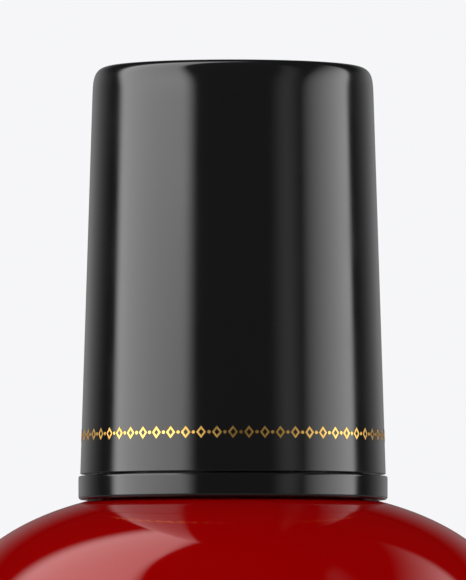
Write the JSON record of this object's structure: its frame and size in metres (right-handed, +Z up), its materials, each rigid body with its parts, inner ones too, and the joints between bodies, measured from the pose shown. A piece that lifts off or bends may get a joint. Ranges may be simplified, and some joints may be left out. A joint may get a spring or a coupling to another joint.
{
  "type": "nail polish bottle",
  "caption": "Round glass nail polish bottle with a threaded neck, a tall tapered screw cap on a base ring, a brush on the cap's stem and mixing balls inside.",
  "frame": {"origin": "centre of the flat face that the bottle stands on", "axes": "+Z up along the bottle's axis, from the base to the top of the cap"},
  "size_m": [0.039, 0.039, 0.0602],
  "materials": {
    "red_glass": "high gloss, dark red coated glass, opaque",
    "red_polish": "wet dark red nail polish",
    "ball_steel": "polished stainless balls, wet with polish",
    "label_paper": "semi-gloss sticker",
    "black_gloss": "high gloss black moulding",
    "black_satin": "satin black polypropylene",
    "white_liner": "soft foamed polyethylene",
    "stem_plastic": "smooth black polypropylene",
    "staple_steel": "bright stainless wire",
    "nylon_bristle": "fine dark nylon filaments",
    "gold_foil": "hot-stamped gold foil"
  },
  "bodies": {
    "bottle": {"bottle": "red_glass", "polish": "red_polish", "base_label": "label_paper"},
    "liner": {"sealing_liner": "white_liner"},
    "ring": {"base_ring": "black_gloss"},
    "cap": {"overcap": "black_gloss", "inner_cap": "black_satin", "brush_stem": "stem_plastic", "brush_staple": "staple_steel", "bristle_tuft": "nylon_bristle"},
    "ball_1": {"mixing_ball_1": "ball_steel"},
    "ball_2": {"mixing_ball_2": "ball_steel"}
  },
  "joints": [
    {"name": "cap_lift_off", "type": "slide", "parent": "bottle", "child": "liner", "axis": [0, 0, 1], "range_m": [0, 0.045]},
    {"name": "cap_rise", "type": "slide", "parent": "liner", "child": "ring", "axis": [0, 0, 1], "range_m": [0, 0.00318]},
    {"name": "cap_unscrew", "type": "hinge", "parent": "ring", "child": "cap", "pos_m": [0, 0, 0.041], "axis": [0, 0, 1], "range_deg": [0, 540]},
    {"name": "ball_1_roll", "type": "hinge", "parent": "bottle", "child": "ball_1", "pos_m": [0, 0, 0.00845], "axis": [0, 0, 1], "range_deg": [-75, 75]},
    {"name": "ball_2_roll", "type": "hinge", "parent": "bottle", "child": "ball_2", "pos_m": [0, 0, 0.00845], "axis": [0, 0, 1], "range_deg": [-75, 75]}
  ],
  "couplings": [
    {"joint": "cap_rise", "follows": "cap_unscrew", "m_per_rad": 0.00033693}
  ]
}
